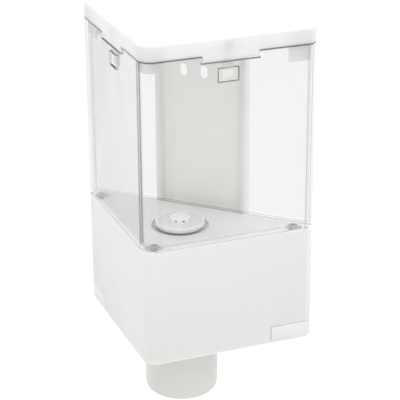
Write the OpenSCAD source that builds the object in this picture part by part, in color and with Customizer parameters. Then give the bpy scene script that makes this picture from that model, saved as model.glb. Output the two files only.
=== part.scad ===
// Wall mounted soap dispenser with a clear corner-shaped tank, a lift-off lid and a push-up
// button.  The wall is the plane y = 0 and the body stands in front of it, towards -Y.

/* [Body outline] */
// Span between the two side flats at the rear
body_w = 164; // [150:1:176]
// Depth of the short side flats at the rear corners
rear_flat = 6; // [5:0.5:9]
// Radius of the front corner
front_r = 8.8; // [7:0.1:10]
// Space between the wall and the back of the body
wall_gap = 10; // [9:0.5:13]

/* [Heights] */
// Height of the clear tank
tank_h = 128; // [120:1:140]
// Height of the base housing
base_h = 81.5; // [80:0.5:86]
// Height of the lid skirt
lid_h = 11.5; // [10:0.5:14]
// How far the button shows below the base
button_drop = 41; // [36:1:46]

/* [Walls] */
// Wall thickness of the clear tank
tank_wall = 2.1; // [1.8:0.1:2.4]
// Wall thickness of the base housing
base_wall = 2.5; // [2:0.1:3]
// Thickness of the tank floor
floor_t = 2.3; // [2:0.1:3]

/* [Lid catches] */
// Start of the lid tab along a side face, from the front corner
tab_start = 40; // [36:1:44]
// Width of the lid tab
tab_w = 39; // [30:1:44]
// Depth of the lid tab below the skirt
tab_drop = 3.5; // [3:0.1:4.5]
// Width of the catch window
window_w = 14; // [12:0.5:15]
// Height of the catch window
window_h = 9.2; // [8:0.1:10]

/* [Pump] */
// Distance from the back of the body to the pump axis
pump_in = 33.8; // [33:0.1:35]
// Radius of the pump bore
bore_r = 7; // [6.8:0.1:7.2]
// Outer radius of the push button at its top
button_r = 25.3; // [24.6:0.1:25.8]

/* [Wall bracket] */
// Width of the bracket channel
channel_w = 66; // [60:1:72]
// Height between the upper and the lower screw slots
screw_pitch = 160; // [150:1:164]
// Sideways distance between neighbouring screw slots
screw_step = 15; // [14:0.5:17]
// Width of a screw slot
slot_w = 5.5; // [5:0.1:6]
// Length of a screw slot
slot_len = 9; // [8:0.5:11]

/* [Hidden] */
$fn = 96;
eps = 0.01;
gap = 0.3;                            // clearance between pieces that come apart
joint_z = -15;                        // height of the joint between tank and base
nose_y = -(wall_gap + body_w / 2 + rear_flat);  // where the two side faces would meet
pump_y = -(wall_gap + pump_in);

tank_top = tank_h;                    // heights below are counted from joint_z
lid_wall = 2.2;
lid_top_t = 2.2;
lug_inset = tank_wall + 0.4;
lug_t = 1.6;
window_mid = tab_start + 18;
window_top = tank_top - 9;
tongue_w = 7.5;
screw_front = [0, nose_y + front_r * sqrt(2)];
screw_rear = [body_w / 2 - 10.2, -(wall_gap + 8.6)];
boss_r = 5.4;
boss_inset = tank_wall - 0.3;         // from the outside of the walls to the bosses
boss_low = -1.6;                      // the bosses reach below the floor, into the deck
boss_top = floor_t + 0.5;
boss_seat = -0.4;
seat_r = 3.4;
head_r = 3;
seal_t = 0.5;
shank_r = 1.5;
post_r = 6.7;
deck_t = 3;                           // top deck of the base, right under the tank floor
sump_r = 17;                          // round sump in the tank floor, around the pump
sump_low = -2.2;
cup_t = 3;                            // base deck under the sump
cover_top = -base_h + 3.3;
pillar_r = 4.5;
pillar_rear = [50, -(wall_gap + 9.5)];
foot_x = body_w / 2 - 19.1;           // inner side of the corner feet
foot_h = 12.1;
cylinder_r = bore_r + 2;
flange_r = 16.6;
gasket_t = 0.8;
flange_z = gasket_t;
flange_t = 1.5;
ring_w = 1.6;
cylinder_end = -46;
cap_wall = 1.6;
rod_r = 5;
rod_bore = 3.2;
head_top = -26;
head_len = 8.5;
spigot_len = 4;
ball_r = 3;
inlet_r = 2.4;
outlet_ball_r = 2.4;
outlet_r = 1.6;
nut_t = 6.5;
nut_low = sump_low - cup_t - nut_t;
core_top = -72;
button_end = -(base_h + button_drop);
button_top = -base_h + 13.8;
button_wall = 2.2;
collar_top = -base_h + 11.5;
collar_r = button_r + gap;
nozzle_hole = 6.5;
web_t = 2.5;
side_t = 4.1;                         // thickness of the channel's side flanges
bracket_top = tank_h - 2;
hook_z = -34;
hook_x = 20;
spring_r = 12;
spring_wire = 0.7;
spring_turns = 8;
valve_spring_r = 2.4;
valve_spring_wire = 0.28;
outlet_seat = head_top - head_len - spigot_len;
outlet_drop = sqrt(outlet_ball_r * outlet_ball_r - outlet_r * outlet_r) + 0.05;
valve_spring_top = outlet_seat - outlet_drop - outlet_ball_r - 0.1;
rod_step = valve_spring_top - 9;

white = [0.95, 0.95, 0.94];
shade = [0.88, 0.88, 0.86];
clear = [0.86, 0.9, 0.92, 0.35];
dark_rubber = [0.2, 0.2, 0.21];
steel = [0.75, 0.76, 0.78];

// ---- shared shapes

// Plan of the body, moved inwards by t.
module outline(t = 0) {
    half = body_w / 2 - t;
    nose = nose_y + t * sqrt(2);
    r = front_r - t;
    touch = r / sqrt(2);
    polygon([[-half, -wall_gap - t], [half, -wall_gap - t], [half, nose + half],
             [touch, nose + touch], [-touch, nose + touch], [-half, nose + half]]);
    translate([0, nose + r * sqrt(2)]) circle(r);
}

// Upright prism over the body plan, with heights counted from the tank joint.
module prism(t, low, high) {
    translate([0, 0, joint_z + low]) linear_extrude(high - low) outline(t);
}

// Children drawn on the right side face: x runs from the front corner, y runs inwards.
module on_right_face() {
    translate([0, nose_y, joint_z]) rotate(45) children();
}

module both_sides() {
    children();
    mirror([1, 0, 0]) children();
}

module on_pump_axis() {
    translate([0, pump_y, joint_z]) children();
}

module at_screws() {
    for (p = [screw_front, screw_rear, [-screw_rear[0], screw_rear[1]]])
        translate([p[0], p[1], joint_z]) children();
}

module at_pillars() {
    for (p = [screw_front, pillar_rear, [-pillar_rear[0], pillar_rear[1]]])
        translate([p[0], p[1], joint_z]) children();
}

module tube(r_out, r_in, low, high) {
    translate([0, 0, low]) difference() {
        cylinder(r = r_out, h = high - low);
        translate([0, 0, -1]) cylinder(r = r_in, h = high - low + 2);
    }
}

module disc(r, low, high) {
    translate([0, 0, low]) cylinder(r = r, h = high - low);
}

// Closed helical wire with flat-wound ends, from z = 0 up to z = len.
function wire_height(u, turns, len, wire) =
    let (flat = 1 / turns, rise = len - 2 * wire)
    wire + rise * (u < flat ? 0.05 * u / flat
        : u > 1 - flat ? 0.95 + 0.05 * (u - 1 + flat) / flat
        : 0.05 + 0.9 * (u - flat) / (1 - 2 * flat));
module coil(r, wire, turns, len, steps = 12, sides = 8) {
    n = turns * steps;
    rings = [for (i = [0:n], k = [0:sides - 1])
        let (a = 360 * i / steps, b = 360 * k / sides, d = r + wire * cos(b))
        [d * cos(a), d * sin(a), wire_height(i / n, turns, len, wire) + wire * sin(b)]];
    sides_f = [for (i = [0:n - 1], k = [0:sides - 1])
        let (m = (k + 1) % sides)
        [i * sides + k, (i + 1) * sides + k, (i + 1) * sides + m, i * sides + m]];
    start = [[for (k = [0:sides - 1]) k]];
    end = [[for (k = [sides - 1:-1:0]) n * sides + k]];
    polyhedron(rings, concat(sides_f, start, end));
}

// ---- wall side

module upright_slot(x, z) {
    for (side = [-1, 1])
        translate([x, 1, z + side * (slot_len - slot_w) / 2])
            rotate([90, 0, 0]) cylinder(d = slot_w, h = web_t + 2);
    translate([x - slot_w / 2, -web_t - 1, z - (slot_len - slot_w) / 2])
        cube([slot_w, web_t + 2, slot_len - slot_w]);
}

// Channel screwed to the wall, with a foot rail and two upturned hooks.
module wall_bracket() {
    rail_half = body_w / 2 - 6;
    color(shade) union() {
        difference() {
            translate([-channel_w / 2, -web_t, joint_z - base_h + 1])
                cube([channel_w, web_t, base_h + bracket_top - 1]);
            for (i = [-1:1], side = [-1, 1])
                upright_slot(i * screw_step, side * screw_pitch / 2);
        }
        both_sides() {
            translate([channel_w / 2 - side_t, -(wall_gap - gap), joint_z - base_h + 14])
                cube([side_t, wall_gap - gap - web_t / 2, base_h + bracket_top - 14]);
            translate([channel_w / 2 - eps, -web_t, joint_z - base_h + 1])
                cube([rail_half - channel_w / 2, web_t, foot_h - 2]);
            translate([hook_x - 5, -(wall_gap + 6), joint_z + hook_z])
                cube([10, wall_gap + 6 - web_t / 2, 3.5]);
            translate([hook_x - 5, -(wall_gap + 6), joint_z + hook_z])
                cube([10, 2.6, 10]);
        }
    }
}

// Corner foot that carries the base: a hollow block let into the lower rear corner.
module foot() {
    low = -base_h;
    high = -base_h + foot_h - gap;
    color(white) difference() {
        union() {
            intersection() {
                prism(0, low, high);
                translate([foot_x + gap, nose_y, joint_z + low - 1])
                    cube([body_w, -nose_y, foot_h + 2]);
            }
            translate([foot_x + 2, -wall_gap - 1, joint_z + low + 1])
                cube([11, wall_gap + 1 - web_t, foot_h - 2]);
        }
        intersection() {
            prism(2.2, low + 2.2, high + 1);
            translate([foot_x + gap + 2.2, nose_y, joint_z + low])
                cube([body_w, -nose_y - wall_gap - 2.2, foot_h + 2]);
        }
    }
}

module left_foot() { mirror([1, 0, 0]) foot(); }

module right_foot() { foot(); }

// ---- body

// White shell under the tank: a flat deck on top, screw posts inside and an open bottom.
module base_housing() {
    corner_roof = -base_h + foot_h;
    color(white) difference() {
        union() {
            difference() {
                prism(0, -base_h, 0);
                prism(base_wall, -base_h - 1, -deck_t);
            }
            // walls around the corner feet
            both_sides() intersection() {
                prism(eps, -base_h, corner_roof + base_wall);
                translate([foot_x - base_wall, nose_y, joint_z - base_h - 1])
                    cube([body_w, -nose_y, foot_h + base_wall + 1]);
            }
            intersection() {
                prism(eps, corner_roof, -eps);
                at_screws() disc(post_r, corner_roof, -eps);
            }
            at_pillars() disc(pillar_r, cover_top, -eps);
            on_pump_axis() disc(sump_r + 2 + gap + cup_t, sump_low - cup_t, -eps);
        }
        on_pump_axis() {
            disc(sump_r + 2 + gap, sump_low, 1);
            disc(cylinder_r + gap, sump_low - cup_t - 1, 1);
        }
        intersection() {
            prism(boss_inset - gap, boss_low - gap, 1);
            at_screws() disc(boss_r + gap, boss_low - gap, 1);
        }
        both_sides() {
            translate([foot_x, nose_y, joint_z - base_h - 1])
                cube([body_w, -nose_y, foot_h + 1]);
            translate([hook_x - 6, -(wall_gap + base_wall + 1), joint_z + hook_z - 1])
                cube([12, base_wall + 2, 13]);
        }
        at_screws() disc(shank_r + 0.05, -17, 1);
        at_pillars() disc(shank_r + 0.05, cover_top - 1, cover_top + 14);
    }
}

// Floor of the base, recessed between its walls, with the button's guide collar.
module bottom_cover() {
    low = -base_h + 0.8;
    color(white) difference() {
        union() {
            difference() {
                prism(base_wall + 0.1, low, cover_top);
                both_sides() translate([foot_x - base_wall - 0.1, nose_y, joint_z + low - 1])
                    cube([body_w, -nose_y, 20]);
            }
            on_pump_axis() disc(collar_r + 2.5, low, collar_top);
        }
        on_pump_axis() disc(collar_r, low - 1, collar_top + 1);
        at_pillars() {
            disc(shank_r + 0.05, low - 1, cover_top + 1);
            disc(seat_r, low - 1, low + 1.3);
        }
    }
}

module cover_screws() {
    head = -base_h + 0.9;
    color(steel) at_pillars() difference() {
        union() {
            disc(shank_r, head + 1, cover_top + 9);
            disc(head_r, head, head + 1.2);
        }
        for (a = [0, 90])
            rotate(a) translate([-1.9, -0.4, head - 1]) cube([3.8, 0.8, 1.6]);
    }
}

// Clear tank with a flat floor, screw bosses in its corners and a notched rim.
module tank() {
    color(clear) difference() {
        union() {
            difference() {
                prism(0, 0, tank_top);
                prism(tank_wall, floor_t, tank_top + 1);
            }
            intersection() {
                prism(boss_inset, boss_low, boss_top);
                at_screws() disc(boss_r, boss_low, boss_top);
            }
            on_pump_axis() disc(sump_r + 2, sump_low, floor_t);
        }
        on_pump_axis() {
            disc(cylinder_r + gap, sump_low - 1, floor_t + 1);
            disc(sump_r, 0, floor_t + 1);
        }
        at_screws() {
            disc(shank_r + gap, boss_low - 1, boss_top);
            disc(seat_r, boss_seat, boss_top + 1);
        }
        both_sides() on_right_face() {
            // finger notch under the lid tab
            translate([tab_start - gap, -1, tank_top - tab_drop - 1.2])
                cube([tab_w + 2 * gap, tank_wall + 2, tab_drop + 3]);
            // catch window and the lead-in groove above it
            translate([window_mid - window_w / 2, -1, window_top - window_h])
                cube([window_w, tank_wall + 2, window_h]);
            translate([window_mid - tongue_w / 2 - gap, tank_wall - 0.8, window_top - 1])
                cube([tongue_w + 2 * gap, 2, tank_top]);
        }
    }
}

module tank_screws() {
    head = boss_seat + seal_t;
    color(steel) at_screws() difference() {
        union() {
            disc(shank_r, -15, head);
            disc(head_r, head, head + 1.6);
        }
        for (a = [0, 90])
            rotate(a) translate([-1.9, -0.4, head + 0.7]) cube([3.8, 0.8, 2]);
    }
}

module screw_seals() {
    color(dark_rubber) at_screws() tube(head_r, shank_r, boss_seat, boss_seat + seal_t);
}

// Lid with a tab and a snap tongue on each side face and a lug in each corner.
module lid() {
    low = tank_top + gap;
    high = tank_top + lid_h;
    under = high - lid_top_t;
    tab_low = tank_top - tab_drop;
    tongue_low = window_top - window_h + 0.6;
    color(white) union() {
        difference() {
            union() {
                prism(0, low, high - 1.6);
                prism(0.8, high - 2.2, high);
                intersection() {
                    prism(0, tab_low, low + 1);
                    both_sides() on_right_face()
                        translate([tab_start + 0.5, -1, tab_low - 1])
                            cube([tab_w - 1, lid_wall + 4, tab_drop + 4]);
                }
            }
            prism(lid_wall, tab_low - 1, under);
        }
        corner_lugs(under + 0.5);
        both_sides() on_right_face() {
            translate([window_mid - tongue_w / 2, tank_wall + 0.4, tongue_low])
                cube([tongue_w, 1.8, under + 0.5 - tongue_low]);
            translate([window_mid - tongue_w / 2, tank_wall - 0.4, tongue_low + 1.5])
                cube([tongue_w, 1, window_h - 2.7]);
        }
    }
}

// Angle-shaped lugs that centre the lid inside the tank corners.
module lug_ring(low, high) {
    translate([0, 0, joint_z + low]) linear_extrude(high - low) difference() {
        outline(lug_inset);
        outline(lug_inset + lug_t);
        children();
    }
}

module corner_lugs(high) {
    lug_ring(tank_top - 8, high)
        translate([-body_w, nose_y + 12]) square([2 * body_w, body_w]);
    lug_ring(tank_top - 11.5, high)
        translate([13 - body_w / 2, nose_y - 1]) square([body_w - 26, body_w]);
}

// ---- pump, from the tank floor down

module floor_gasket() {
    color(dark_rubber) on_pump_axis() tube(15.8, cylinder_r, 0, flange_z);
}

module pump_cylinder() {
    top = flange_z + flange_t;
    color(shade) on_pump_axis() difference() {
        union() {
            disc(cylinder_r, cylinder_end, top);
            disc(flange_r, flange_z, top);
        }
        disc(bore_r, cylinder_end - 1, top + 1);
    }
}

// White ring clipped over the rim of the pump flange.
module pump_ring() {
    top = flange_z + flange_t;
    color(white) on_pump_axis() tube(flange_r, flange_r - ring_w, top, top + 0.9);
}

module lock_nut() {
    color(white) on_pump_axis() difference() {
        union() {
            disc(13, nut_low, nut_low + nut_t);
            for (a = [0:60:300])
                rotate(a) translate([0, -2, nut_low]) cube([15.2, 4, nut_t - 1]);
        }
        disc(cylinder_r, nut_low - 1, 1);
    }
}

// Valve seat pressed into the top of the cylinder, with a three-legged ball cage.
module inlet_cage() {
    top = flange_z + flange_t;
    seat = top - 2.5;
    rest = seat - 6.1;
    color(white) on_pump_axis() difference() {
        union() {
            disc(bore_r, rest - 1.2, top);
            disc(bore_r + 0.8, top, top + 1);
        }
        disc(inlet_r, rest - 2, top + 2);
        disc(4.2, rest, seat);
        for (a = [0:120:240])
            rotate(a) translate([1.8, -1.6, rest - 2]) cube([6, 3.2, 7.6]);
    }
}

module inlet_ball() {
    rest = flange_z + flange_t - 8.6;   // top of the cage's lip
    lift = sqrt(ball_r * ball_r - inlet_r * inlet_r) + 0.1;
    color(steel) on_pump_axis() translate([0, 0, rest + lift]) sphere(ball_r);
}

// Slotted cap over the inlet.
module inlet_strainer() {
    low = flange_z + flange_t + 1;
    color(white) on_pump_axis() difference() {
        disc(bore_r, low, low + 3);
        disc(bore_r - 1.5, low - 1, low + 2);
        for (a = [0:45:315])
            rotate(a) translate([4, -0.8, low + 0.6]) cube([6, 1.6, 1.4]);
    }
}

module cylinder_cap() {
    color(white) on_pump_axis() difference() {
        disc(cylinder_r + cap_wall, cylinder_end - 4, cylinder_end + 5);
        disc(cylinder_r, cylinder_end - 2, cylinder_end + 6);
        disc(rod_r + 0.05, cylinder_end - 5, cylinder_end);
    }
}

module wiper_seal() {
    color(dark_rubber) on_pump_axis()
        tube(cylinder_r - 0.6, rod_r + 0.06, cylinder_end - 1.9, cylinder_end - 0.1);
}

module piston_head() {
    bottom = head_top - head_len;
    color(white) on_pump_axis() difference() {
        union() {
            disc(bore_r - 0.5, bottom, bottom + 2);
            disc(bore_r - 1.8, bottom, head_top);
            disc(bore_r - 0.5, head_top - 2.4, head_top);
            disc(rod_bore, bottom - spigot_len, bottom + 1);
        }
        disc(outlet_r, bottom - spigot_len - 1, head_top + 1);
    }
}

module piston_seal() {
    bottom = head_top - head_len;
    color(dark_rubber) on_pump_axis()
        tube(bore_r - 0.05, bore_r - 1.8, bottom + 2, head_top - 2.4);
}

module piston_rod() {
    top = head_top - head_len;
    bottom = button_end + 18;
    color(shade) on_pump_axis() difference() {
        disc(rod_r, bottom, top);
        disc(rod_bore, rod_step, top + 1);
        disc(2.1, bottom - 1, rod_step + 1);
    }
}

module outlet_ball() {
    color(steel) on_pump_axis()
        translate([0, 0, outlet_seat - outlet_drop]) sphere(outlet_ball_r);
}

module outlet_spring() {
    color(steel) on_pump_axis() translate([0, 0, rod_step])
        coil(valve_spring_r, valve_spring_wire, 6, valve_spring_top - rod_step);
}

module return_spring() {
    color(steel) on_pump_axis() translate([0, 0, core_top])
        coil(spring_r, spring_wire, spring_turns, nut_low - core_top);
}

// Stem inside the button that holds the rod and the nozzle and carries the spring.
module button_core() {
    foot_z = button_end + 3;
    color(shade) on_pump_axis() difference() {
        union() {
            disc(rod_r + 2.5, foot_z, core_top);
            disc(spring_r + 2.4, core_top - 2, core_top);
            disc(19, foot_z, foot_z + 2.5);
            for (a = [45:90:315])
                rotate(a) translate([rod_r + 1, -1, foot_z + 1]) cube([11, 2, 22]);
        }
        disc(rod_r, foot_z - 1, core_top + 1);
        for (a = [0:90:270])
            rotate(a) translate([15, 0, foot_z - 1]) cylinder(r = 1.5, h = 5);
    }
}

module core_screws() {
    foot_z = button_end + 3;
    color(steel) on_pump_axis() for (a = [0:90:270])
        rotate(a) translate([15, 0, 0]) difference() {
            union() {
                disc(1.4, foot_z - 2, foot_z + 2.5);
                disc(2.8, foot_z + 2.5, foot_z + 4.2);
            }
            for (b = [0, 90])
                rotate(b) translate([-1.7, -0.35, foot_z + 3.4]) cube([3.4, 0.7, 1]);
        }
}

// Button cup with a rounded lower edge and a stop flange that rests on the collar.
module push_button() {
    edge = 5;
    foot_r = button_r - 0.4;
    inner = button_r - button_wall;
    color(white) on_pump_axis() difference() {
        rotate_extrude() {
            polygon([[0, button_end], [foot_r - edge, button_end],
                     [foot_r, button_end + edge], [button_r, button_top],
                     [0, button_top]]);
            translate([foot_r - edge, button_end + edge]) circle(edge);
            translate([inner, button_top - 2])
                square([button_wall + 1.9, 2]);
        }
        disc(inner - 0.6, button_end + 3, button_top + 1);
        disc(nozzle_hole, button_end - 1, button_end + 4);
        for (a = [0:90:270])
            rotate(a) translate([15, 0, button_end + 0.9]) cylinder(r = 1.45, h = 5);
    }
}

module nozzle() {
    low = button_end + 0.8;
    color(shade) on_pump_axis() difference() {
        union() {
            disc(rod_r, low, button_end + 17.5);
            disc(nozzle_hole - 0.3, low, button_end + 3 - eps);
        }
        disc(1.9, low - 1, button_end + 18);
    }
}

wall_bracket();
left_foot();
right_foot();
base_housing();
bottom_cover();
cover_screws();
tank();
tank_screws();
screw_seals();
lid();
floor_gasket();
pump_cylinder();
pump_ring();
lock_nut();
inlet_cage();
inlet_ball();
inlet_strainer();
cylinder_cap();
wiper_seal();
piston_head();
piston_seal();
piston_rod();
outlet_ball();
outlet_spring();
return_spring();
button_core();
core_screws();
push_button();
nozzle();
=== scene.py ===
import math

import bpy
from mathutils import Euler, Matrix, Vector


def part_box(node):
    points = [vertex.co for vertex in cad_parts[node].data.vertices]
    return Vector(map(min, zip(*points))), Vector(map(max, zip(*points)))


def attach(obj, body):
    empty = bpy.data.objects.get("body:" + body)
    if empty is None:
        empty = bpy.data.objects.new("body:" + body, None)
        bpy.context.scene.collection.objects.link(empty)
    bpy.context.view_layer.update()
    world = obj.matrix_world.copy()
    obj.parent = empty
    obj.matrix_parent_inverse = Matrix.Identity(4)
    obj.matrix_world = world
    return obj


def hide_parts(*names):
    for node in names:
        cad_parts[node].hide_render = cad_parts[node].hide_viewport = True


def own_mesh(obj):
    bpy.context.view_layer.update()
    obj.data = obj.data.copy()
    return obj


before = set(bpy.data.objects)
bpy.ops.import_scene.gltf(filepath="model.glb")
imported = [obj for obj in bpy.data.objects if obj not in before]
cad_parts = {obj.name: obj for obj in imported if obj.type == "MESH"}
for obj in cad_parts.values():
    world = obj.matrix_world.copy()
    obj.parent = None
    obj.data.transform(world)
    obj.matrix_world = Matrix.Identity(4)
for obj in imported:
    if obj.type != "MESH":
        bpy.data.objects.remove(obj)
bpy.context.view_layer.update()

mm = 0.001
root2 = math.sqrt(2)
tiny = 0.02 * mm
gap = 0.3 * mm  # between pieces that come apart
beyond = 0.2    # metres, further out than any edge of the dispenser

lidLow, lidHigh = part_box("lid")
tankLow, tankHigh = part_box("tank")
baseLow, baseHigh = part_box("base_housing")
plan = {"half": lidHigh.x, "rear": lidHigh.y, "noseRadius": 8.8 * mm, "noseSteps": 14}
plan["nose"] = lidLow.y - plan["noseRadius"] * (root2 - 1)  # where the side faces would meet
jointZ = baseHigh.z  # joint between tank and base
ringLow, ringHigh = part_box("pump_ring")
pumpY = (ringLow.y + ringHigh.y) / 2
print("frame loaded, %d CAD nodes" % len(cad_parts))


def up(height):
    return jointZ + height * mm  # a height above the joint, in millimetres


def objectMode():
    if bpy.context.object and bpy.context.object.mode != "OBJECT":
        bpy.ops.object.mode_set(mode="OBJECT")


def only(piece):
    objectMode()
    bpy.ops.object.select_all(action="DESELECT")
    piece.select_set(True)
    bpy.context.view_layer.objects.active = piece


def startPiece(name):
    # the primitive just added becomes a named piece with its place in its mesh
    piece = bpy.context.object
    piece.name = name
    piece.data.name = name
    bpy.ops.object.transform_apply(location=True, rotation=True, scale=True)
    return piece


def clearSelection():
    objectMode()
    bpy.ops.object.select_all(action="DESELECT")


def addBlock(name, low, high, turn=0):
    # a cuboid between two corners, turned about the upright through its middle
    clearSelection()
    middle = [(a + b) / 2 for a, b in zip(low, high)]
    bpy.ops.mesh.primitive_cube_add(size=1, location=middle, rotation=(0, 0, turn))
    bpy.context.object.scale = [b - a for a, b in zip(low, high)]
    return startPiece(name)


def addDrum(name, x, y, radius, low, high, sides=72):
    clearSelection()
    bpy.ops.mesh.primitive_cylinder_add(
        vertices=sides, radius=radius, depth=high - low, location=(x, y, (low + high) / 2)
    )
    return startPiece(name)


def chooseFaces(piece, test):
    only(piece)
    bpy.ops.object.mode_set(mode="EDIT")
    bpy.ops.mesh.select_mode(type="FACE")
    bpy.ops.mesh.select_all(action="DESELECT")
    objectMode()
    for face in piece.data.polygons:
        face.select = test(face.center, face.normal)
    bpy.ops.object.mode_set(mode="EDIT")


def chooseEdges(piece, test):
    only(piece)
    bpy.ops.object.mode_set(mode="EDIT")
    bpy.ops.mesh.select_mode(type="EDGE")
    bpy.ops.mesh.select_all(action="DESELECT")
    objectMode()
    for edge in piece.data.edges:
        start, end = (piece.data.vertices[i].co for i in edge.vertices)
        edge.select = test(start, end)
    bpy.ops.object.mode_set(mode="EDIT")


def push(x=0, y=0, z=0):
    bpy.ops.mesh.extrude_region_move(TRANSFORM_OT_translate={"value": (x, y, z)})


def grow(factor, centre):
    bpy.ops.transform.resize(value=(factor, factor, 1), center_override=centre)


def combine(piece, tool, operation):
    only(piece)
    bpy.ops.object.modifier_add(type="BOOLEAN")
    modifier = piece.modifiers[-1]
    modifier.operation = operation
    modifier.solver = "EXACT"
    modifier.object = tool
    bpy.ops.object.modifier_apply(modifier=modifier.name)
    bpy.data.objects.remove(tool)


def cut(piece, *tools):
    for tool in tools:
        combine(piece, tool, "DIFFERENCE")


def weld(piece, *tools):
    for tool in tools:
        combine(piece, tool, "UNION")


def soften(piece, width, segments=2, angle=35):
    # breaks every sharp edge a little
    only(piece)
    bpy.ops.object.modifier_add(type="BEVEL")
    modifier = piece.modifiers[-1]
    modifier.width = width
    modifier.segments = segments
    modifier.limit_method = "ANGLE"
    modifier.angle_limit = math.radians(angle)
    modifier.miter_outer = "MITER_ARC"
    bpy.ops.object.modifier_apply(modifier=modifier.name)
    bpy.ops.object.shade_smooth_by_angle(angle=math.radians(angle))


def tidyMesh(piece):
    only(piece)
    bpy.ops.object.mode_set(mode="EDIT")
    bpy.ops.mesh.select_all(action="SELECT")
    bpy.ops.mesh.remove_doubles(threshold=0.005 * mm)
    bpy.ops.mesh.normals_make_consistent(inside=False)
    objectMode()


def addPrism(name, inset, low, high):
    # the body's plan, drawn inset from its outside: a block with both front corners cut away
    # and its nose rounded
    nose = plan["nose"] + inset * root2
    half = plan["half"] - inset
    prism = addBlock(name, (-half, nose - 5 * mm, low), (half, plan["rear"] - inset, high))
    for side in (-1, 1):
        only(prism)
        bpy.ops.object.mode_set(mode="EDIT")
        bpy.ops.mesh.select_all(action="SELECT")
        bpy.ops.mesh.bisect(
            plane_co=(0, nose, 0), plane_no=(side, -1, 0), use_fill=True, clear_outer=True
        )
    chooseEdges(prism, lambda a, b: max(a.y, b.y) < nose + tiny)
    bpy.ops.mesh.bevel(
        offset=plan["noseRadius"] - inset, segments=plan["noseSteps"], affect="EDGES"
    )
    objectMode()
    return prism


def sidePoint(side, along, inward, z):
    # along runs from the nose over a side face, inward goes through the wall
    return Vector((side * (along - inward) / root2, plan["nose"] + (along + inward) / root2, z))


def alongSide(side, point):
    return (side * point.x + point.y - plan["nose"]) / root2


def inwardSide(side, point):
    return (point.y - plan["nose"] - side * point.x) / root2


def addSideBlock(name, side, along, inward, heights):
    middle = sidePoint(side, sum(along) / 2, sum(inward) / 2, sum(heights) / 2)
    size = Vector((along[1] - along[0], inward[1] - inward[0], heights[1] - heights[0]))
    return addBlock(name, middle - size / 2, middle + size / 2, side * math.pi / 4)


def hollow(piece, way, wall, depth):
    # way is 1 to open the top of a block, -1 to open its underside
    chooseFaces(piece, lambda middle, normal: normal.z * way > 0.9)
    bpy.ops.mesh.inset(thickness=wall, depth=0)
    push(z=-way * depth)
    objectMode()


def place(piece, body, slot, material, *nodes):
    piece.data.materials.clear()
    piece.data.materials.append(material)
    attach(piece, body)
    if nodes:
        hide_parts(*nodes)


class Wire:
    # a socket that can be added to, multiplied and so on
    def __init__(self, finish, socket):
        self.finish = finish
        self.socket = socket

    def maths(self, operation, first, second):
        return self.finish.add("Math", {"operation": operation}, {0: first, 1: second})

    def __add__(self, other):
        return self.maths("ADD", self, other)

    def __radd__(self, other):
        return self.maths("ADD", other, self)

    def __sub__(self, other):
        return self.maths("SUBTRACT", self, other)

    def __rsub__(self, other):
        return self.maths("SUBTRACT", other, self)

    def __mul__(self, other):
        return self.maths("MULTIPLY", self, other)

    def __rmul__(self, other):
        return self.maths("MULTIPLY", other, self)

    def __truediv__(self, other):
        return self.maths("DIVIDE", self, other)

    def __pow__(self, other):
        return self.maths("POWER", self, other)

    def __gt__(self, other):
        return self.maths("GREATER_THAN", self, other)

    def __lt__(self, other):
        return self.maths("LESS_THAN", self, other)

    def __abs__(self):
        return self.finish.add("Math", {"operation": "ABSOLUTE"}, {0: self})


class Finish:
    # a material and the few things that every finish of this dispenser needs
    def __init__(self, name):
        self.material = bpy.data.materials.new(name)
        self.material.use_nodes = True
        self.tree = self.material.node_tree
        self.shader = self.tree.nodes["Principled BSDF"]
        self.place = self.add("TexCoord", output="Object")

    def add(self, kind, settings=None, inputs=None, output=0):
        node = self.tree.nodes.new("ShaderNode" + kind)
        for name, value in (settings or {}).items():
            if name == "stops":
                for stop, (position, shade) in zip(node.color_ramp.elements, value):
                    stop.position = position
                    stop.color = (shade, shade, shade, 1)
            else:
                setattr(node, name, value)
        for name, value in (inputs or {}).items():
            self.feed(node.inputs[name], value)
        return Wire(self, node.outputs[output])

    def feed(self, socket, value):
        if isinstance(value, Wire):
            self.tree.links.new(value.socket, socket)
        else:
            socket.default_value = value

    def set(self, values):
        for name, value in values.items():
            self.feed(self.shader.inputs[name], value)

    def noise(self, scale, detail=3, roughness=0.5):
        return self.add(
            "TexNoise",
            {"noise_dimensions": "3D"},
            {"Vector": self.place, "Scale": scale, "Detail": detail, "Roughness": roughness},
        )

    def axis(self, name):
        return self.add("SeparateXYZ", inputs={"Vector": self.place}, output=name)

    def between(self, value, low, high):
        return (value > low) * (value < high)

    def band(self, value, centre, halfWidth):
        # 1 on a line, falling to 0 at halfWidth to either side of it
        away = abs(value - centre) / halfWidth
        return self.add("Math", {"operation": "SUBTRACT", "use_clamp": True}, {0: 1, 1: away})

    def least(self, first, second):
        return self.add("Math", {"operation": "MINIMUM"}, {0: first, 1: second})

    def most(self, first, *others):
        for other in others:
            first = self.add("Math", {"operation": "MAXIMUM"}, {0: first, 1: other})
        return first

    def blend(self, factor, first, second):
        node = {"data_type": "RGBA"}
        return self.add("Mix", node, {"Factor": factor, 6: first, 7: second}, output=2)

    def bump(self, height, strength, distance):
        inputs = {"Height": height, "Strength": strength, "Distance": distance}
        return self.add("Bump", inputs=inputs)


def tint(colour, factor=1.0):
    return tuple(c * factor for c in colour) + (1,)


# where the base's top gets the paler deck colour: painted light against the lid's shade
paintedLightZone = {"inset": mm, "behindNose": 6.4 * mm, "low": -2.6}


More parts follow.
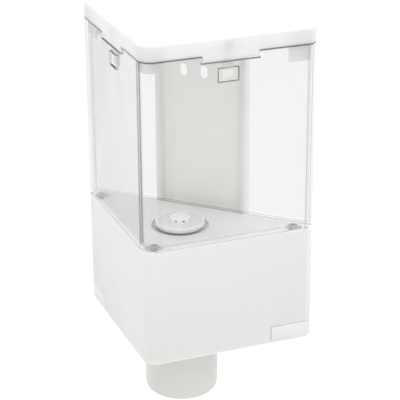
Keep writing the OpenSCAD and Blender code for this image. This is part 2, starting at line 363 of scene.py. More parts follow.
def whitePlastic(name, colour, roughness, grain, cloud=0.04, lightDepth=0, deck=None):
    # pale moulding: a faint cloudiness, a fine grain and slow waves in the gloss;
    # light soaks lightDepth into the thin walls, so some of it comes out on the far side;
    # deck is a paler colour painted on the base's top, which is seen through the tank in the lid's
    # shade: painted light that offsets that shade
    finish = Finish(name)
    clouds = finish.noise(18, 2)
    pores = finish.noise(2600, 2, 0.6)
    waves = finish.noise(60, 2)
    shade = finish.blend(clouds, tint(colour), tint(colour, 1 - cloud))
    # painted light: the base's top, seen through the tank, is made paler than the rest of the moulding
    if deck:
        y = finish.axis("Y")
        inward = finish.least((y - plan["nose"] - abs(finish.axis("X"))) / root2, plan["rear"] - y)
        behindNose = y > plan["nose"] + paintedLightZone["behindNose"]
        paintedLightOnDeck = (inward > paintedLightZone["inset"]) * behindNose * (finish.axis("Z") > up(paintedLightZone["low"]))
        shade = finish.blend(paintedLightOnDeck, shade, tint(deck))
    height = pores * 0.8 + waves * 0.2
    finish.set({
        "Base Color": shade,
        "Roughness": roughness + 0.1 * (waves - 0.5) + 0.12 * (pores - 0.5),
        "Specular IOR Level": 0.42,
        "Subsurface Weight": 1.0 if lightDepth else 0.0,
        "Subsurface Radius": (1, 1, 0.95),
        "Subsurface Scale": lightDepth,
        "Normal": finish.bump(height, grain, 0.06 * mm),
    })
    return finish.material


def clearPlastic():
    # the tank: nearly invisible face on, grey where it turns away; the dark lines along its moulded
    # edges are painted shade, standing in for what refraction and narrow gaps do there
    finish = Finish("clear_tank")
    look = clearLook
    size = tankShape
    facing = finish.add("LayerWeight", inputs={"Blend": 0.5}, output="Facing")
    x = abs(finish.axis("X"))
    y = finish.axis("Y")
    z = finish.axis("Z")
    haze = finish.noise(12, 3)
    scuffs = finish.noise(420, 2, 0.7)
    along = (x + y - plan["nose"]) / root2
    inward = finish.least((y - plan["nose"] - x) / root2, plan["rear"] - y)
    inWall = inward < size["wall"] + look["margin"]
    floorTop = jointZ + size["floor"]
    aboveFloor = z > floorTop + mm
    noseWeight = look["noseFaint"] + look["noseTurned"] * facing ** 2
    nose = aboveFloor * (along < look["noseReach"]) * noseWeight
    noseLine = finish.band(x, look["noseLine"], look["noseWidth"]) * nose
    rearX = plan["half"] - look["rearInset"]
    rearLine = finish.band(x, rearX, look["rearWidth"]) * inWall * look["rearWeight"]
    rimLine = finish.band(z, tankHigh.z, look["rimWidth"])
    near, far = size["notch"]
    atNotch = finish.between(along, near - look["notchMargin"], far + look["notchMargin"])
    notchBand = finish.band(z, up(size["notchLow"]), look["notchWidth"])
    notchLine = notchBand * atNotch * look["notchWeight"]
    low, high = (up(h) for h in size["windowHeights"])
    near, far = size["window"]
    width = look["windowWidth"]
    overWindow = finish.between(along, near - width, far + width) * inWall
    besideWindow = finish.between(z, low - width, high + width) * inWall
    levels = finish.most(*(finish.band(z, level, width) for level in (low, high)))
    sides = finish.most(*(finish.band(along, edge, width) for edge in (near, far)))
    windowWeight = look["windowFaint"] + look["windowTurned"] * facing ** 2
    windowLine = finish.most(levels * overWindow, sides * besideWindow) * windowWeight
    footBand = finish.band(z, jointZ + look["footRise"], look["footWidth"])
    footLine = footBand * (inward < look["footDepth"]) * look["footWeight"]
    inCorner = finish.band(inward, size["wall"], look["filletWidth"]) * finish.band(z, floorTop, mm)
    filletLine = inCorner * look["filletWeight"]
    # edge gathers the painted shade lines along the nose, rear, rim, notch, window, foot and fillet
    edge = finish.most(noseLine, rearLine, rimLine, notchLine, windowLine, footLine, filletLine)
    onWall = look["onFloor"] + (1 - look["onFloor"]) * aboveFloor
    body = (look["face"] + look["turned"] * facing ** 4) * onWall + 0.008 * (haze - 0.5)
    finish.set({
        "Base Color": finish.blend(edge, tint(look["colour"]), tint(look["paintedShadeColour"])),
        "Roughness": 0.06 + 0.05 * scuffs,
        "IOR": 1.49,
        "Alpha": finish.most(body, edge),
        "Normal": finish.bump(haze * 0.2 + scuffs * 0.02, 0.04, 0.2 * mm),
    })
    return finish.material


def metal(name, colour, roughness, scale):
    finish = Finish(name)
    streaks = finish.noise(scale, 4, 0.6)
    blotches = finish.noise(140, 2)
    finish.set({
        "Base Color": finish.blend(blotches, tint(colour), tint(colour, 0.86)),
        "Metallic": 1.0,
        "Roughness": roughness + 0.16 * (streaks - 0.5) + 0.08 * (blotches - 0.5),
        "Normal": finish.bump(streaks, 0.12, 0.03 * mm),
    })
    return finish.material


def rubber():
    finish = Finish("seal_rubber")
    bloom = finish.noise(160, 3)
    pores = finish.noise(2200, 2)
    finish.set({
        "Base Color": finish.blend(bloom, (0.02, 0.02, 0.022, 1), (0.045, 0.045, 0.047, 1)),
        "Roughness": 0.62 + 0.2 * (bloom - 0.5),
        "Normal": finish.bump(pores, 0.25, 0.05 * mm),
    })
    return finish.material


tankShape = {
    "wall": 2.1 * mm,
    "floor": 2.3 * mm,
    "edge": 0.25 * mm,
    "rise": 0.06 * mm,      # keeps the clear underside just off the base deck
    "bossRadius": 5.4 * mm,
    "bossInset": 1.8 * mm,
    "bossHeights": (-1.6, 2.8),
    "screwHole": 1.8 * mm,
    "counterbore": (3.4 * mm, -0.4),
    "sumpRadius": 17 * mm,
    "sumpWall": 2 * mm,
    "pumpHole": 9.3 * mm,
    "notch": (39.7 * mm, 79.3 * mm),
    "notchLow": 123.3,
    "window": (51 * mm, 65 * mm),
    "windowHeights": (109.8, 119),
    "groove": (53.95 * mm, 62.05 * mm),
    "grooveDepth": 0.8 * mm,
}
# the line settings below place painted shade: dark bands where the clear plastic's edges and gaps look
# dark from refraction and shadow
clearLook = {
    "colour": (0.45, 0.44, 0.45),
    "paintedShadeColour": (0.05, 0.045, 0.045),
    "face": 0.066,       # how much one surface hides, seen square on
    "turned": 0.4,       # how much more at a glancing angle
    "onFloor": 0.12,     # the share of both that the tank floor has
    "margin": 0.3 * mm,  # how far the wall's lines reach past its inside
    "noseLine": 6.7 * mm,
    "noseWidth": 2.4 * mm,
    "noseReach": 14 * mm,
    "noseFaint": 0.03,
    "noseTurned": 1.9,
    "rearInset": 1.9 * mm,
    "rearWidth": 0.7 * mm,
    "rearWeight": 0.5,
    "rimWidth": 1.1 * mm,
    "notchMargin": 0.5 * mm,
    "notchWidth": 0.7 * mm,
    "notchWeight": 0.9,
    "windowWidth": 0.4 * mm,
    "windowFaint": 0.25,
    "windowTurned": 1.6,
    "footRise": 0.2 * mm,
    "footWidth": 0.6 * mm,
    "footDepth": 0.4 * mm,
    "footWeight": 0.5,
    "filletWidth": 0.6 * mm,
    "filletWeight": 0.45,
}
white = (0.765, 0.761, 0.75)
finishes = {
    "clear": clearPlastic(),
    "lid": whitePlastic("lid_white", (0.78, 0.778, 0.77), 0.34, 0.16, lightDepth=4.5 * mm),
    # the base's deck colour is painted light, paler than its white to offset the shade under the lid
    "base": whitePlastic("base_white", white, 0.33, 0.16, lightDepth=2 * mm, deck=(0.93, 0.925, 0.92)),
    "foot": whitePlastic("foot_white", white, 0.36, 0.16),
    # the bracket's colour is painted light: paler than the other white mouldings to offset the shade it
    # sits in behind the tank
    "bracket": whitePlastic("bracket_white_painted_light", (0.95, 0.93, 0.885), 0.5, 0.35, lightDepth=7 * mm),
    # the button's colour is painted shade: darker than the other white mouldings for the shade under
    # the base
    "button": whitePlastic("button_white_painted_shade", (0.655, 0.65, 0.625), 0.3, 0.12),
    # the ring and strainer colour is painted light: whiter than the other mouldings to offset the lid's
    # shade
    "ring": whitePlastic("ring_white_painted_light", (0.97, 0.97, 0.96), 0.3, 0.12),
    # pale natural plastic, made paler still as painted light against the lid's shade on the flange
    "pump": whitePlastic("pump_natural_painted_light", (0.88, 0.88, 0.87), 0.46, 0.3, 0.07),
    "screw": metal("screw_stainless", (0.62, 0.62, 0.62), 0.34, 900),
    "spring": metal("spring_wire", (0.5, 0.5, 0.51), 0.26, 1500),
    "ball": metal("ball_polished", (0.68, 0.68, 0.69), 0.1, 700),
    "rubber": rubber(),
    "silicone": whitePlastic("seal_silicone", (0.9, 0.9, 0.89), 0.55, 0.3, 0.08),
}
print("finishes made")


lidShape = {
    "wall": 2.2 * mm,
    "roof": 2.2 * mm,
    "topEdge": 1.5 * mm,      # rounding of the upper edge
    "edge": 0.25 * mm,
    "tab": (40.5 * mm, 78.5 * mm),
    "tabDrop": 3.5 * mm,      # how far the finger tabs hang below the tank's rim
    "tongue": (54.25 * mm, 61.75 * mm),
    "tongueDepth": (2.5 * mm, 4.3 * mm),
    "tongueLow": 110.4,
    "barbDepth": (1.7 * mm, 2.7 * mm),
    "barbHeights": (111.9, 118.4),
    "barbRamp": 0.7 * mm,
    "lugInset": 2.5 * mm,
    "lugThick": 1.6 * mm,
    "lugRoof": 0.4 * mm,
    "rootDepth": 0.5 * mm,    # how far tongues and lugs run into the roof
    "lugLows": (120, 116.5),  # front lug, rear lugs
    "lugFront": 12 * mm,      # how far the front lug reaches back
    "lugRear": 13 * mm,       # how far the rear lugs reach inwards
}


def makeLid():
    size = lidShape
    skirtLow = tankHigh.z + gap
    roofLow = lidHigh.z - size["roof"]
    lid = addPrism("lid_cover", 0, skirtLow, lidHigh.z)
    chooseEdges(lid, lambda a, b: min(a.z, b.z) > lidHigh.z - tiny)
    bpy.ops.mesh.bevel(offset=size["topEdge"], segments=4, affect="EDGES")
    hollow(lid, -1, size["wall"], roofLow - skirtLow)
    for side in (-1, 1):
        def onSkirt(middle, normal):
            under = normal.z < -0.9 and middle.z < skirtLow + tiny
            return under and 0 < inwardSide(side, middle) < size["wall"]

        def onTab(middle, normal):
            return onSkirt(middle, normal) and size["tab"][0] < alongSide(side, middle) < size["tab"][1]

        for along in size["tab"]:
            chooseFaces(lid, onSkirt)
            bpy.ops.mesh.bisect(plane_co=sidePoint(side, along, 0, 0), plane_no=(side, 1, 0))
        chooseFaces(lid, onTab)
        push(z=tankHigh.z - size["tabDrop"] - skirtLow)
        objectMode()
    rootZ = roofLow + size["rootDepth"]
    for side in (-1, 1):
        low, high = (up(h) for h in size["barbHeights"])
        tongue = addSideBlock(
            "tongue", side, size["tongue"], size["tongueDepth"], (up(size["tongueLow"]), rootZ)
        )
        barb = addSideBlock("barb", side, size["tongue"], size["barbDepth"], (low, high))
        chooseEdges(barb, lambda a, b: isBarbRamp(side, a, b, high))
        bpy.ops.mesh.bevel(offset=size["barbRamp"], segments=1, affect="EDGES")
        objectMode()
        weld(tongue, barb)
        weld(lid, tongue)
    inner = plan["half"] - size["lugRear"]
    low, high = up(100), up(150)  # below the lugs and above the lid
    frontEnd = plan["nose"] + size["lugFront"]
    behindFront = (-beyond, frontEnd, low), (beyond, beyond, high)
    betweenRears = (-inner, -beyond, low), (inner, beyond, high)
    for low, (first, last) in zip(size["lugLows"], (behindFront, betweenRears)):
        lugs = addPrism("lugs", size["lugInset"], up(low), rootZ)
        hollow(lugs, -1, size["lugThick"], rootZ - up(low) - size["lugRoof"])
        cut(lugs, addBlock("clear", first, last))
        weld(lid, lugs)
    tidyMesh(lid)
    soften(lid, size["edge"])
    place(lid, "lid", "lid_plastic", finishes["lid"], "lid")


def isBarbRamp(side, a, b, high):
    outer = max(inwardSide(side, a), inwardSide(side, b)) < lidShape["barbDepth"][0] + tiny
    return outer and min(a.z, b.z) > high - tiny


makeLid()
print("lid made")


screwX = plan["half"] - 10.2 * mm
screwY = plan["rear"] - 8.6 * mm
screwPlaces = [
    (0, plan["nose"] + plan["noseRadius"] * root2),
    (screwX, screwY),
    (-screwX, screwY),
]


def makeTank():
    size = tankShape
    top = tankHigh.z
    tank = addPrism("soap_tank", 0, jointZ + size["rise"], top)
    hollow(tank, 1, size["wall"], top - jointZ - size["floor"])
    bossLow, bossHigh = (up(h) for h in size["bossHeights"])
    clear = up(9)  # above everything on the tank floor
    for x, y in screwPlaces:
        boss = addDrum("boss", x, y, size["bossRadius"], bossLow, bossHigh, 48)
        combine(boss, addPrism("limit", size["bossInset"], bossLow - mm, bossHigh + mm), "INTERSECT")
        weld(tank, boss)
    outer = size["sumpRadius"] + size["sumpWall"]
    weld(tank, addDrum("sump", 0, pumpY, outer, tankLow.z + size["rise"], up(1)))
    cut(tank, addDrum("well", 0, pumpY, size["sumpRadius"], jointZ, clear))
    cut(tank, addDrum("hole", 0, pumpY, size["pumpHole"], tankLow.z - mm, clear))
    radius, seat = size["counterbore"]
    for x, y in screwPlaces:
        cut(tank, addDrum("seat", x, y, radius, up(seat), clear, 40))
        cut(tank, addDrum("bore", x, y, size["screwHole"], bossLow - mm, clear, 32))
    through = (-mm, size["wall"] + 2 * mm)
    for side in (-1, 1):
        cut(
            tank,
            addSideBlock("notch", side, size["notch"], through, (up(size["notchLow"]), top + mm)),
            addSideBlock(
                "window", side, size["window"], through, [up(h) for h in size["windowHeights"]]
            ),
            addSideBlock(
                "groove", side, size["groove"], (size["wall"] - size["grooveDepth"], through[1]),
                (up(size["windowHeights"][1] - 1), top + mm),
            ),
        )
    tidyMesh(tank)
    soften(tank, size["edge"])
    place(tank, "body", "clear_plastic", finishes["clear"], "tank")


makeTank()
print("tank made")


baseShape = {
    "wall": 2.5 * mm,
    "deck": 3 * mm,
    "footX": plan["half"] - 19.1 * mm,  # inner side of the corner feet
    "footHigh": 12.1 * mm,
    "postRadius": 6.7 * mm,
    "pillarRadius": 4.5 * mm,
    "edge": 0.3 * mm,
    "sink": 0.5 * mm,            # how far posts, pillars and cup stop under the deck's top
    "pilot": 1.55 * mm,
    "pilotLow": -17,
    "pilotDepth": 14 * mm,
    "cup": (19.3 * mm, 3 * mm),  # inner radius and wall of the cup under the sump
    "pumpHole": 9.3 * mm,
    "pocket": (5.7 * mm, 1.5 * mm, -1.9),
    "hookSlot": (14 * mm, 26 * mm, -35, -22),
}
pillarX = 50 * mm
pillarY = plan["rear"] - 9.5 * mm
pillarPlaces = [screwPlaces[0], (pillarX, pillarY), (-pillarX, pillarY)]
coverLow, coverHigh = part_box("bottom_cover")
coverTop = baseLow.z + 3.3 * mm


def makeBase():
    size = baseShape
    roof = baseLow.z + size["footHigh"]
    base = addPrism("base_shell", 0, baseLow.z, jointZ)
    hollow(base, -1, size["wall"], jointZ - baseLow.z - size["deck"])
    corners = addPrism("corners", 0.05 * mm, baseLow.z, roof + size["wall"])
    inner = size["footX"] - size["wall"]
    cut(corners, addBlock("middle", (-inner, -beyond, -beyond), (inner, beyond, 0)))
    weld(base, corners)
    partTop = jointZ - size["sink"]
    for x, y in screwPlaces:
        post = addDrum("post", x, y, size["postRadius"], roof, partTop, 48)
        combine(post, addPrism("limit", 0.05 * mm, roof - mm, jointZ + mm), "INTERSECT")
        weld(base, post)
    for x, y in pillarPlaces:
        weld(base, addDrum("pillar", x, y, size["pillarRadius"], coverTop, partTop, 32))
    radius, wall = size["cup"]
    weld(base, addDrum("cup", 0, pumpY, radius + wall, tankLow.z - wall, partTop))
    cut(
        base,
        addDrum("cup_inside", 0, pumpY, radius, tankLow.z, up(1)),
        addDrum("pump_hole", 0, pumpY, size["pumpHole"], up(-9), up(1)),
    )
    for side in (-1, 1):
        xs = sorted((side * size["footX"], side * beyond))
        cut(base, addBlock("foot_space", (xs[0], -beyond, baseLow.z - mm), (xs[1], beyond, roof)))
        xs = sorted(side * x for x in size["hookSlot"][:2])
        low, high = (up(h) for h in size["hookSlot"][2:])
        rear = plan["rear"]
        inside = rear - size["wall"] - mm
        cut(base, addBlock("hook_slot", (xs[0], inside, low), (xs[1], rear + mm, high)))
    radius, inset, low = size["pocket"]
    for x, y in screwPlaces:
        pocket = addDrum("pocket", x, y, radius, up(low), up(1), 48)
        combine(pocket, addPrism("limit", inset, up(low - 1), up(2)), "INTERSECT")
        cut(base, pocket, addDrum("pilot", x, y, size["pilot"], up(size["pilotLow"]), up(1), 24))
    pilotTop = coverTop + size["pilotDepth"]
    for x, y in pillarPlaces:
        cut(base, addDrum("pilot", x, y, size["pilot"], coverTop - mm, pilotTop, 24))
    tidyMesh(base)
    soften(base, size["edge"])
    place(base, "body", "base_plastic", finishes["base"], "base_housing")


footShape = {"wall": 2.2 * mm, "edge": 0.3 * mm, "tongue": (2 * mm, 13 * mm)}


def makeFoot(side, node):
    size = footShape
    low = baseLow.z
    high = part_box(node)[1].z
    inner = baseShape["footX"] + gap
    foot = addPrism("foot_%s" % ("right" if side > 0 else "left"), 0, low, high)
    only(foot)
    bpy.ops.object.mode_set(mode="EDIT")
    bpy.ops.mesh.select_all(action="SELECT")
    bpy.ops.mesh.bisect(
        plane_co=(side * inner, 0, 0), plane_no=(-side, 0, 0), use_fill=True, clear_outer=True
    )
    hollow(foot, 1, size["wall"], high - low - size["wall"])
    xs = sorted(side * (baseShape["footX"] + reach) for reach in size["tongue"])
    tongue = addBlock(
        "foot_tongue", (xs[0], plan["rear"] - mm, low + mm),
        (xs[1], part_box(node)[1].y, low + baseShape["footHigh"] - mm),
    )
    weld(foot, tongue)
    tidyMesh(foot)
    soften(foot, size["edge"])
    place(foot, "body", "foot_plastic", finishes["foot"], node)


makeBase()
makeFoot(-1, "left_foot")
makeFoot(1, "right_foot")
print("base and feet made")


coverShape = {
    "inset": 2.6 * mm,
    "collarInner": 25.6 * mm,
    "collarOuter": 28.1 * mm,
    "headRadius": 3.4 * mm,
    "headDepth": 1.3 * mm,
    "edge": 0.3 * mm,
}


def makeCover():
    size = coverShape
    low = coverLow.z
    inner = baseShape["footX"] - size["inset"]
    cover = addPrism("base_cover", size["inset"], low, coverTop)
    for side in (-1, 1):
        xs = sorted((side * inner, side * beyond))
        cut(cover, addBlock("corner", (xs[0], -beyond, low - mm), (xs[1], beyond, coverTop + mm)))
    weld(cover, addDrum("collar", 0, pumpY, size["collarOuter"], low, coverHigh.z, 96))
    cut(cover, addDrum("guide", 0, pumpY, size["collarInner"], low - mm, coverHigh.z + mm, 96))
    for x, y in pillarPlaces:
        cut(
            cover,
            addDrum("bore", x, y, baseShape["pilot"], low - mm, coverTop + mm, 24),
            addDrum("seat", x, y, size["headRadius"], low - mm, low + size["headDepth"], 32),
        )
    tidyMesh(cover)
    soften(cover, size["edge"])
    place(cover, "body", "base_plastic", finishes["base"], "bottom_cover")


makeCover()
print("bottom cover made")


bracketLow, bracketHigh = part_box("wall_bracket")
bracketShape = {
    "half": 33 * mm,
    "web": 2.5 * mm,
    "flange": 4.1 * mm,
    "flangeRise": 14 * mm,
    "edge": 0.4 * mm,
    "slotWidth": 5.5 * mm,
    "slotLength": 9 * mm,
    "slotStep": 15 * mm,
    "slotHeight": 80 * mm,
    "railHigh": 10.1 * mm,
    "hook": (15 * mm, 25 * mm, -34),
    "hookThick": 3.5 * mm,
    "hookHigh": 10 * mm,
    "hookLip": 2.6 * mm,
}


def addSlot(x, z):
    # a round-ended cutter: a disc across the web, the upper and lower half of its rim pulled apart
    size = bracketShape
    reach = (size["slotLength"] - size["slotWidth"]) / 2
    clearSelection()
    bpy.ops.mesh.primitive_cylinder_add(
        vertices=32, radius=size["slotWidth"] / 2, depth=8 * mm,
        location=(x, -size["web"] / 2, z), rotation=(math.pi / 2, 0, 0),
    )
    slot = startPiece("slot")
    for way in (-1, 1):
        chooseFaces(slot, lambda middle, normal: abs(normal.y) < 0.5 and normal.z * way > 0)
        bpy.ops.transform.translate(value=(0, 0, way * reach))
    objectMode()
    return slot


def makeBracket():
    size = bracketShape
    half = size["half"]
    front = bracketLow.y
    webFront = -size["web"]
    bracket = addBlock("bracket_plate", (-half, webFront, bracketLow.z), (half, 0, bracketHigh.z))
    for step in (-1, 0, 1):
        for side in (-1, 1):
            cut(bracket, addSlot(step * size["slotStep"], side * size["slotHeight"]))
    flangeLow = baseLow.z + size["flangeRise"]
    flangeFront = plan["rear"] + gap
    for side in (-1, 1):
        xs = sorted((side * (half - size["flange"]), side * half))
        weld(bracket, addBlock(
            "flange", (xs[0], flangeFront, flangeLow), (xs[1], webFront / 2, bracketHigh.z)
        ))
        xs = sorted((side * (half - mm), side * bracketHigh.x))
        railTop = bracketLow.z + size["railHigh"]
        weld(bracket, addBlock("rail", (xs[0], webFront, bracketLow.z), (xs[1], 0, railTop)))
        xs = sorted((side * size["hook"][0], side * size["hook"][1]))
        hookLow = up(size["hook"][2])
        armTop = hookLow + size["hookThick"]
        arm = addBlock("arm", (xs[0], front, hookLow), (xs[1], webFront / 2, armTop))
        lipEnd = (xs[1], front + size["hookLip"], hookLow + size["hookHigh"])
        lip = addBlock("lip", (xs[0], front, hookLow), lipEnd)
        weld(arm, lip)
        weld(bracket, arm)
    tidyMesh(bracket)
    soften(bracket, size["edge"])
    place(bracket, "body", "bracket_plastic", finishes["bracket"], "wall_bracket")


makeBracket()
print("bracket made")


buttonLow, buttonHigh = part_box("push_button")
buttonShape = {
    "top": buttonHigh.x - 1.9 * mm,
    "bottom": buttonHigh.x - 2.3 * mm,
    "edge": 5 * mm,
    "flangeThick": 2 * mm,
    "bore": buttonHigh.x - 4.7 * mm,
    "floor": 3 * mm,
    "nozzleHole": 6.5 * mm,
    "screwCircle": 15 * mm,
    "screwHole": 1.45 * mm,
    "screwSkin": 0.9 * mm,  # left under the screw holes, so that they stay blind
    "softEdge": 0.3 * mm,
}


def makeButton():
    size = buttonShape
    low = buttonLow.z
    high = buttonHigh.z
    flangeLow = high - size["flangeThick"]
    centre = (0, pumpY, 0)
    clear = low + 4 * mm  # above the button's floor
    button = addDrum("button_cup", 0, pumpY, size["top"], low, flangeLow, 128)
    chooseFaces(button, lambda middle, normal: normal.z < -0.9)
    grow(size["bottom"] / size["top"], centre)
    chooseEdges(button, lambda a, b: max(a.z, b.z) < low + tiny)
    bpy.ops.mesh.bevel(offset=size["edge"], segments=10, affect="EDGES")
    chooseFaces(button, lambda middle, normal: normal.z > 0.9)
    push()
    grow(buttonHigh.x / size["top"], centre)
    push(z=size["flangeThick"])
    push()
    grow(size["bore"] / buttonHigh.x, centre)
    push(z=low + size["floor"] - high)
    objectMode()
    cut(button, addDrum("outlet", 0, pumpY, size["nozzleHole"], low - mm, clear, 64))
    for turn in range(4):
        angle = turn * math.pi / 2
        x = size["screwCircle"] * math.cos(angle)
        y = pumpY + size["screwCircle"] * math.sin(angle)
        cut(button, addDrum("hole", x, y, size["screwHole"], low + size["screwSkin"], clear, 20))
    tidyMesh(button)
    soften(button, size["softEdge"], angle=50)
    place(button, "button", "button_plastic", finishes["button"], "push_button")


makeButton()
print("button made")


ringShape = {"wall": 1.6 * mm, "edge": 0.35 * mm}


def makeRing():
    # the ring on the pump flange, its edges rounded
    low, high = ringLow.z, ringHigh.z
    ring = addDrum("flange_ring", 0, pumpY, ringHigh.x, low, high, 96)
    chooseFaces(ring, lambda middle, normal: abs(normal.z) > 0.9)
    bpy.ops.mesh.inset(thickness=ringShape["wall"], depth=0)
    bpy.ops.mesh.bridge_edge_loops()
    objectMode()
    tidyMesh(ring)
    soften(ring, ringShape["edge"], segments=4)
    place(ring, "body", "button_plastic", finishes["ring"], "pump_ring")


strainerLow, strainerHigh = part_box("inlet_strainer")
strainerShape = {
    "topEdge": 0.9 * mm,
    "edge": 0.12 * mm,
    "wall": 1.5 * mm,
    "inside": 2 * mm,
    "slotHalf": 0.8 * mm,
    "slotRise": (0.6 * mm, 2 * mm),
}


def makeStrainer():
    size = strainerShape
    low, high = strainerLow.z, strainerHigh.z
    radius = strainerHigh.x
    slotLow, slotHigh = (low + rise for rise in size["slotRise"])
    cap = addDrum("strainer_cap", 0, pumpY, radius, low, high, 64)
    chooseEdges(cap, lambda a, b: min(a.z, b.z) > high - tiny)
    bpy.ops.mesh.bevel(offset=size["topEdge"], segments=4, affect="EDGES")
    chooseFaces(cap, lambda middle, normal: normal.z < -0.9)
    bpy.ops.mesh.inset(thickness=size["wall"], depth=0)
    push(z=size["inside"])
    objectMode()
    for turn in range(4):
        slot = addBlock(
            "slot", (-radius - mm, pumpY - size["slotHalf"], slotLow),
            (radius + mm, pumpY + size["slotHalf"], slotHigh), turn * math.pi / 4,
        )
        cut(cap, slot)
    tidyMesh(cap)
    soften(cap, size["edge"])
    place(cap, "body", "button_plastic", finishes["ring"], "inlet_strainer")


makeRing()
makeStrainer()
print("pump top made")


screwShape = {
    "head": 3 * mm,       # radius
    "shank": 1.5 * mm,    # radius
    "tipShare": 0.7,      # the tip's radius as a share of the shank's
    "edge": 0.08 * mm,
    "deckHead": 1.6 * mm,
    "coverHead": 1.2 * mm,
}


def addScrew(name, x, y, headLow, headHigh, tip, cross):
    # pan head over a plain shank, with a cross recess
    size = screwShape
    screw = addDrum(name, x, y, size["head"], headLow, headHigh, 40)
    rim = min(0.55 * (headHigh - headLow), 0.8 * mm)
    face = headHigh if cross["up"] > 0 else -headLow
    chooseEdges(screw, lambda a, b: min(a.z * cross["up"], b.z * cross["up"]) > face - tiny)
    bpy.ops.mesh.bevel(offset=rim, segments=4, affect="EDGES")
    chooseFaces(screw, lambda middle, normal: normal.z * cross["up"] < -0.9)
    bpy.ops.mesh.inset(thickness=size["head"] - size["shank"], depth=0)
    push(z=tip - (headLow if cross["up"] > 0 else headHigh))
    grow(size["tipShare"], (x, y, 0))
    objectMode()
    middle = face * cross["up"]
    for turn in (0, 1):
        slot = addBlock(
            "slot", (x - cross["long"], y - cross["wide"], middle - cross["deep"]),
            (x + cross["long"], y + cross["wide"], middle + cross["deep"]), turn * math.pi / 2,
        )
        cut(screw, slot)
    tidyMesh(screw)
    soften(screw, size["edge"])
    return screw


def joinAs(name, pieces):
    clearSelection()
    for piece in pieces:
        piece.select_set(True)
    bpy.context.view_layer.objects.active = pieces[0]
    bpy.ops.object.join()
    pieces[0].name = name
    return pieces[0]


def makeScrews():
    low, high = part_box("tank_screws")
    cross = {"up": 1, "long": 1.9 * mm, "wide": 0.4 * mm, "deep": 0.9 * mm}
    made = [
        addScrew("screw", x, y, high.z - screwShape["deckHead"], high.z, low.z, cross)
        for x, y in screwPlaces
    ]
    screws = joinAs("deck_screws", made)
    place(screws, "body", "screw_steel", finishes["screw"], "tank_screws")
    low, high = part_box("cover_screws")
    cross = {"up": -1, "long": 1.9 * mm, "wide": 0.4 * mm, "deep": 0.6 * mm}
    made = [
        addScrew("screw", x, y, low.z, low.z + screwShape["coverHead"], high.z, cross)
        for x, y in pillarPlaces
    ]
    screws = joinAs("underside_screws", made)
    place(screws, "body", "screw_steel", finishes["screw"], "cover_screws")


makeScrews()
print("screws made")


springShapes = {
    "return_spring": {"wire": 0.7 * mm, "turns": 8},  # wire is a radius
    "outlet_spring": {"wire": 0.28 * mm, "turns": 6},
}


def makeSpring(name, node, body):
    # a circle of wire swept up a helix between the spring's two ends
    wire = springShapes[node]["wire"]
    turns = springShapes[node]["turns"]
    low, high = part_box(node)
    radius = high.x - wire
    clearSelection()
    bpy.ops.mesh.primitive_circle_add(
        vertices=12, radius=wire, location=(radius, 0, wire), rotation=(math.pi / 2, 0, 0)
    )
    spring = startPiece(name)
    bpy.ops.object.modifier_add(type="SCREW")
    helix = spring.modifiers[-1]
    helix.angle = 2 * math.pi
    helix.iterations = turns
    helix.screw_offset = (high.z - low.z - 2 * wire) / turns
    helix.steps = 40
    helix.render_steps = 40
    bpy.ops.object.modifier_apply(modifier=helix.name)
    bpy.ops.object.mode_set(mode="EDIT")
    bpy.ops.mesh.select_all(action="SELECT")
    bpy.ops.mesh.fill_holes(sides=0)
    bpy.ops.mesh.select_all(action="SELECT")
    bpy.ops.transform.translate(value=(0, pumpY, low.z))
    objectMode()
    tidyMesh(spring)
    bpy.ops.object.shade_smooth_by_angle(angle=math.radians(40))
    place(spring, body, "spring_steel", finishes["spring"], node)
    return spring, low, high


spring, springLow, springHigh = makeSpring("button_spring", "return_spring", "body")
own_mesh(spring)
valve, valveLow, valveHigh = makeSpring("valve_spring", "outlet_spring", "button")
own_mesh(valve)
print("springs made")


kept = {
    "screw": ["core_screws"],
    "rubber": ["wiper_seal", "piston_seal"],
    "silicone": ["screw_seals", "floor_gasket"],
    "ball": ["inlet_ball", "outlet_ball"],
    "pump": ["pump_cylinder", "lock_nut", "inlet_cage", "cylinder_cap", "piston_head",
             "piston_rod", "button_core", "nozzle"],
}
for finishName, names in kept.items():
    for nodeName in names:
        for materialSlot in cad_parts[nodeName].material_slots:
            materialSlot.material = finishes[finishName]


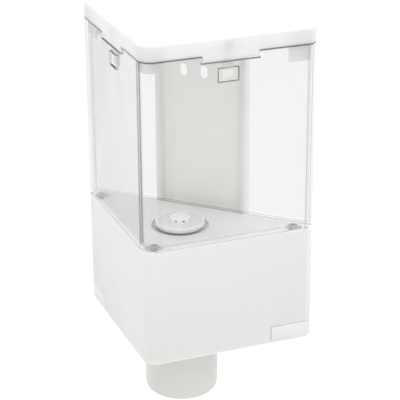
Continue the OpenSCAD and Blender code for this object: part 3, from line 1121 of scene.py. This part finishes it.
view = {"azimuth": 23.506, "elevation": 22.493, "roll": -0.327, "distance": 1.069, "lens": 137.82}
target = Vector((-3.64, -1.4, -14.12)) * mm


def makeCamera():
    azimuth, elevation, roll = (math.radians(view[k]) for k in ("azimuth", "elevation", "roll"))
    aim = Euler((math.pi / 2 - elevation, 0, azimuth)).to_matrix() @ Matrix.Rotation(roll, 3, "Z")
    camera = bpy.data.objects.new("camera", bpy.data.cameras.new("camera"))
    camera.data.lens = view["lens"]
    camera.data.sensor_width = 36
    camera.data.clip_end = 60
    camera.location = target + aim @ Vector((0, 0, view["distance"]))
    camera.rotation_euler = aim.to_euler()
    bpy.context.scene.collection.objects.link(camera)
    bpy.context.scene.camera = camera


sky = 1.0  # brightness of the white surroundings
overhead = {"from": (0.22, -0.14, 1), "strength": 1.1, "spread": 60}


def makeLamp():
    lamp = bpy.data.lights.new("overhead", "SUN")
    lamp.energy = overhead["strength"]
    lamp.angle = math.radians(overhead["spread"])
    holder = bpy.data.objects.new("overhead", lamp)
    holder.rotation_euler = Vector(overhead["from"]).to_track_quat("Z", "Y").to_euler()
    bpy.context.scene.collection.objects.link(holder)


room = {"size": 60, "floorZ": -0.95}


def makeRoom():
    clearSelection()
    bpy.ops.mesh.primitive_plane_add(size=room["size"], location=(0, 0, room["floorZ"]))
    floor = startPiece("floor")
    finish = Finish("pale_floor")
    finish.set({
        "Base Color": finish.blend(finish.noise(3), (0.79, 0.79, 0.79, 1), (0.78, 0.78, 0.78, 1)),
        "Roughness": 0.9,
        "Specular IOR Level": 0.2,
    })
    floor.data.materials.append(finish.material)
    world = bpy.data.worlds.new("studio")
    world.use_nodes = True
    world.node_tree.nodes["Background"].inputs["Color"].default_value = (1, 1, 1, 1)
    world.node_tree.nodes["Background"].inputs["Strength"].default_value = sky
    bpy.context.scene.world = world
    bpy.context.scene.view_settings.view_transform = "Standard"
    bpy.context.scene.cycles.transparent_max_bounces = 32  # rays cross many clear surfaces


makeCamera()
makeLamp()
makeRoom()
print("camera, lamp and floor placed")
